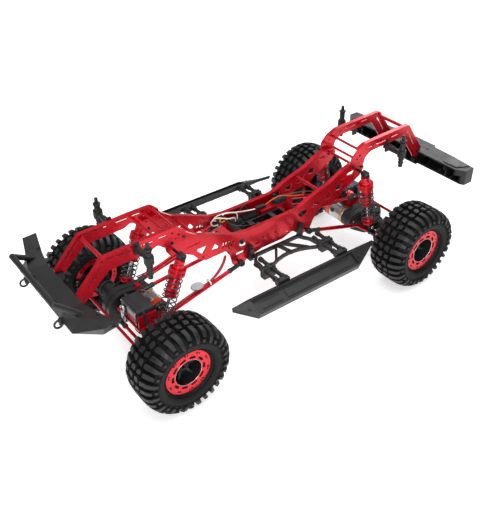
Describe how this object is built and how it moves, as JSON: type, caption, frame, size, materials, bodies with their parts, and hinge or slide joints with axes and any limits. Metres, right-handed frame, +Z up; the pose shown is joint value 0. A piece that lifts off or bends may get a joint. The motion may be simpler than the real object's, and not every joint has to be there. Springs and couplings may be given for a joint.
{
  "type": "four wheel crawler chassis",
  "caption": "Rock crawler chassis with four driven and steered wheels, link suspension, coil shocks, axle motors, bumpers, side steps and body posts",
  "frame": {"origin": "on the ground, midway between the two axles and between the left and right wheels", "axes": "+X forward along the chassis, +Y to its left, +Z up"},
  "size_m": [0.8912, 0.403, 0.29],
  "materials": {
    "red_metal": "satin",
    "black_plastic": "matte",
    "dark_plastic": "satin",
    "bright_metal": "brushed",
    "dark_metal": "satin",
    "tyre": "matte",
    "wire_white": "satin",
    "wire_red": "satin"
  },
  "bodies": {
    "chassis": {"main_rail_left": "red_metal", "main_rail_right": "red_metal", "front_rails": "red_metal", "rear_rails": "red_metal", "cross_tubes": "red_metal", "floor_tray": "red_metal", "battery_tray": "black_plastic", "electronics": "black_plastic", "front_bumper": "black_plastic", "rear_bumper": "black_plastic", "body_posts": "black_plastic", "slider_brackets": "black_plastic", "sliders": "black_plastic", "frame_screws": "bright_metal", "wiring": "wire_white"},
    "front_links_body": {"front_lower_links": "red_metal", "link_leads": "wire_red"},
    "front_upper_body": {"front_upper_links": "red_metal"},
    "front_shock_body": {"front_shock_bodies": "red_metal", "front_springs": "dark_metal"},
    "front_shaft_body": {"front_shock_rods": "bright_metal"},
    "front_axle": {"front_axle_housing": "black_plastic", "front_servo_mount": "red_metal", "front_motor": "bright_metal", "front_servo": "dark_plastic"},
    "front_gear_body": {"front_drive_gear": "dark_metal"},
    "front_pinion_body": {"front_motor_pinion": "bright_metal"},
    "front_horn_body": {"front_servo_horn": "bright_metal"},
    "front_drag_body": {"front_drag_link": "red_metal"},
    "front_tie_body": {"front_tie_rod": "red_metal"},
    "front_knuckle_left_body": {"front_knuckle_left": "black_plastic"},
    "front_wheel_left_body": {"front_tyre_left": "tyre", "front_rim_left": "black_plastic", "front_bead_rings_left": "red_metal"},
    "front_knuckle_right_body": {"front_knuckle_right": "black_plastic"},
    "front_wheel_right_body": {"front_tyre_right": "tyre", "front_rim_right": "black_plastic", "front_bead_rings_right": "red_metal"},
    "rear_links_body": {"rear_lower_links": "red_metal"},
    "rear_upper_body": {"rear_upper_links": "red_metal"},
    "rear_shock_body": {"rear_shock_bodies": "red_metal", "rear_springs": "dark_metal"},
    "rear_shaft_body": {"rear_shock_rods": "bright_metal"},
    "rear_axle": {"rear_axle_housing": "black_plastic", "rear_servo_mount": "red_metal", "rear_motor": "bright_metal", "rear_servo": "dark_plastic"},
    "rear_gear_body": {"rear_drive_gear": "dark_metal"},
    "rear_pinion_body": {"rear_motor_pinion": "bright_metal"},
    "rear_horn_body": {"rear_servo_horn": "bright_metal"},
    "rear_drag_body": {"rear_drag_link": "red_metal"},
    "rear_tie_body": {"rear_tie_rod": "red_metal"},
    "rear_knuckle_left_body": {"rear_knuckle_left": "black_plastic"},
    "rear_wheel_left_body": {"rear_tyre_left": "tyre", "rear_rim_left": "black_plastic", "rear_bead_rings_left": "red_metal"},
    "rear_knuckle_right_body": {"rear_knuckle_right": "black_plastic"},
    "rear_wheel_right_body": {"rear_tyre_right": "tyre", "rear_rim_right": "black_plastic", "rear_bead_rings_right": "red_metal"}
  },
  "joints": [
    {"name": "front_travel", "type": "hinge", "parent": "chassis", "child": "front_links_body", "pos_m": [0.07, 0, 0.132], "axis": [0, -1, 0], "range_deg": [0, 10], "stiffness_Nm_per_rad": 24, "springref_deg": -20.05},
    {"name": "front_upper_swing", "type": "hinge", "parent": "chassis", "child": "front_upper_body", "pos_m": [0.06, 0, 0.168], "axis": [0, -1, 0], "range_deg": [-0.2, 10.2]},
    {"name": "front_shock_swing", "type": "hinge", "parent": "chassis", "child": "front_shock_body", "pos_m": [0.204, 0, 0.214], "axis": [0, -1, 0], "range_deg": [-0.2, 10.2]},
    {"name": "front_shock_slide", "type": "slide", "parent": "front_shock_body", "child": "front_shaft_body", "axis": [-0.3661, 0, 0.9306], "range_m": [-0.0003, 0.028], "deforming": ["front_springs"]},
    {"name": "front_axle_pitch", "type": "hinge", "parent": "front_links_body", "child": "front_axle", "pos_m": [0.264, 0, 0.07], "axis": [0, -1, 0], "range_deg": [-6, 0.2]},
    {"name": "front_steer_left", "type": "hinge", "parent": "front_axle", "child": "front_knuckle_left_body", "pos_m": [0.28, 0.12, 0.085], "axis": [0, 0, 1], "range_deg": [-24, 24]},
    {"name": "front_steer_right", "type": "hinge", "parent": "front_axle", "child": "front_knuckle_right_body", "pos_m": [0.28, -0.12, 0.085], "axis": [0, 0, 1], "range_deg": [-24.2, 24.2]},
    {"name": "front_tie_rod_swing", "type": "hinge", "parent": "front_knuckle_left_body", "child": "front_tie_body", "pos_m": [0.322, 0.12, 0.095], "axis": [0, 0, 1], "range_deg": [-24.2, 24.2]},
    {"name": "front_horn_turn", "type": "hinge", "parent": "front_axle", "child": "front_horn_body", "pos_m": [0.305, 0.025, 0.123], "axis": [1, 0, 0], "range_deg": [-32.6, 32.6]},
    {"name": "front_drag_swing", "type": "hinge", "parent": "front_horn_body", "child": "front_drag_body", "pos_m": [0.312, 0.025, 0.099], "axis": [1, 0, 0], "range_deg": [-32.6, 32.6]},
    {"name": "front_wheel_left", "type": "hinge", "parent": "front_knuckle_left_body", "child": "front_wheel_left_body", "pos_m": [0.28, 0.16, 0.085], "axis": [0, 1, 0], "continuous": true},
    {"name": "front_wheel_right", "type": "hinge", "parent": "front_knuckle_right_body", "child": "front_wheel_right_body", "pos_m": [0.28, -0.16, 0.085], "axis": [0, 1, 0], "continuous": true},
    {"name": "front_gear_turn", "type": "hinge", "parent": "front_axle", "child": "front_gear_body", "pos_m": [0.28, 0, 0.085], "axis": [0, 1, 0], "continuous": true},
    {"name": "front_pinion_turn", "type": "hinge", "parent": "front_axle", "child": "front_pinion_body", "pos_m": [0.23892, 0, 0.09373], "axis": [0, 1, 0], "continuous": true},
    {"name": "rear_travel", "type": "hinge", "parent": "chassis", "child": "rear_links_body", "pos_m": [-0.095, 0, 0.136], "axis": [0, 1, 0], "range_deg": [0, 10], "stiffness_Nm_per_rad": 24, "springref_deg": -20.05},
    {"name": "rear_upper_swing", "type": "hinge", "parent": "chassis", "child": "rear_upper_body", "pos_m": [-0.083, 0, 0.172], "axis": [0, 1, 0], "range_deg": [-0.2, 10.2]},
    {"name": "rear_shock_swing", "type": "hinge", "parent": "chassis", "child": "rear_shock_body", "pos_m": [-0.226, 0, 0.222], "axis": [0, 1, 0], "range_deg": [-0.2, 10.2]},
    {"name": "rear_shock_slide", "type": "slide", "parent": "rear_shock_body", "child": "rear_shaft_body", "axis": [0.1961, 0, 0.9806], "range_m": [-0.0003, 0.028], "deforming": ["rear_springs"]},
    {"name": "rear_axle_pitch", "type": "hinge", "parent": "rear_links_body", "child": "rear_axle", "pos_m": [-0.264, 0, 0.07], "axis": [0, 1, 0], "range_deg": [-6, 0.2]},
    {"name": "rear_steer_right", "type": "hinge", "parent": "rear_axle", "child": "rear_knuckle_right_body", "pos_m": [-0.28, -0.12, 0.085], "axis": [0, 0, 1], "range_deg": [-24, 24]},
    {"name": "rear_steer_left", "type": "hinge", "parent": "rear_axle", "child": "rear_knuckle_left_body", "pos_m": [-0.28, 0.12, 0.085], "axis": [0, 0, 1], "range_deg": [-24.2, 24.2]},
    {"name": "rear_tie_rod_swing", "type": "hinge", "parent": "rear_knuckle_right_body", "child": "rear_tie_body", "pos_m": [-0.322, -0.12, 0.095], "axis": [0, 0, 1], "range_deg": [-24.2, 24.2]},
    {"name": "rear_horn_turn", "type": "hinge", "parent": "rear_axle", "child": "rear_horn_body", "pos_m": [-0.305, -0.025, 0.123], "axis": [-1, 0, 0], "range_deg": [-32.6, 32.6]},
    {"name": "rear_drag_swing", "type": "hinge", "parent": "rear_horn_body", "child": "rear_drag_body", "pos_m": [-0.312, -0.025, 0.099], "axis": [-1, 0, 0], "range_deg": [-32.6, 32.6]},
    {"name": "rear_wheel_left", "type": "hinge", "parent": "rear_knuckle_left_body", "child": "rear_wheel_left_body", "pos_m": [-0.28, 0.16, 0.085], "axis": [0, 1, 0], "continuous": true},
    {"name": "rear_wheel_right", "type": "hinge", "parent": "rear_knuckle_right_body", "child": "rear_wheel_right_body", "pos_m": [-0.28, -0.16, 0.085], "axis": [0, 1, 0], "continuous": true},
    {"name": "rear_gear_turn", "type": "hinge", "parent": "rear_axle", "child": "rear_gear_body", "pos_m": [-0.28, 0, 0.085], "axis": [0, 1, 0], "continuous": true},
    {"name": "rear_pinion_turn", "type": "hinge", "parent": "rear_axle", "child": "rear_pinion_body", "pos_m": [-0.23892, 0, 0.09373], "axis": [0, 1, 0], "continuous": true}
  ],
  "couplings": [
    {"joint": "front_upper_swing", "follows": "front_travel", "ratio": 0.9721},
    {"joint": "front_shock_swing", "follows": "front_travel", "ratio": 0.9751},
    {"joint": "front_shock_slide", "follows": "front_travel", "m_per_rad": 0.15727},
    {"joint": "front_axle_pitch", "follows": "front_travel", "ratio": -0.5625},
    {"joint": "front_steer_right", "follows": "front_steer_left", "ratio": 1},
    {"joint": "front_tie_rod_swing", "follows": "front_steer_left", "ratio": -1},
    {"joint": "front_horn_turn", "follows": "front_steer_left", "ratio": 1.35},
    {"joint": "front_drag_swing", "follows": "front_steer_left", "ratio": -1.35},
    {"joint": "front_wheel_right", "follows": "front_wheel_left", "ratio": 1},
    {"joint": "front_gear_turn", "follows": "front_wheel_left", "ratio": 1},
    {"joint": "front_pinion_turn", "follows": "front_wheel_left", "ratio": -2.1111},
    {"joint": "rear_upper_swing", "follows": "rear_travel", "ratio": 0.957},
    {"joint": "rear_shock_swing", "follows": "rear_travel", "ratio": 0.6851},
    {"joint": "rear_shock_slide", "follows": "rear_travel", "m_per_rad": 0.15172},
    {"joint": "rear_axle_pitch", "follows": "rear_travel", "ratio": -0.554},
    {"joint": "rear_steer_left", "follows": "rear_steer_right", "ratio": 1},
    {"joint": "rear_tie_rod_swing", "follows": "rear_steer_right", "ratio": -1},
    {"joint": "rear_horn_turn", "follows": "rear_steer_right", "ratio": 1.35},
    {"joint": "rear_drag_swing", "follows": "rear_steer_right", "ratio": -1.35},
    {"joint": "rear_wheel_right", "follows": "rear_wheel_left", "ratio": 1},
    {"joint": "rear_gear_turn", "follows": "rear_wheel_left", "ratio": 1},
    {"joint": "rear_pinion_turn", "follows": "rear_wheel_left", "ratio": -2.1111}
  ]
}
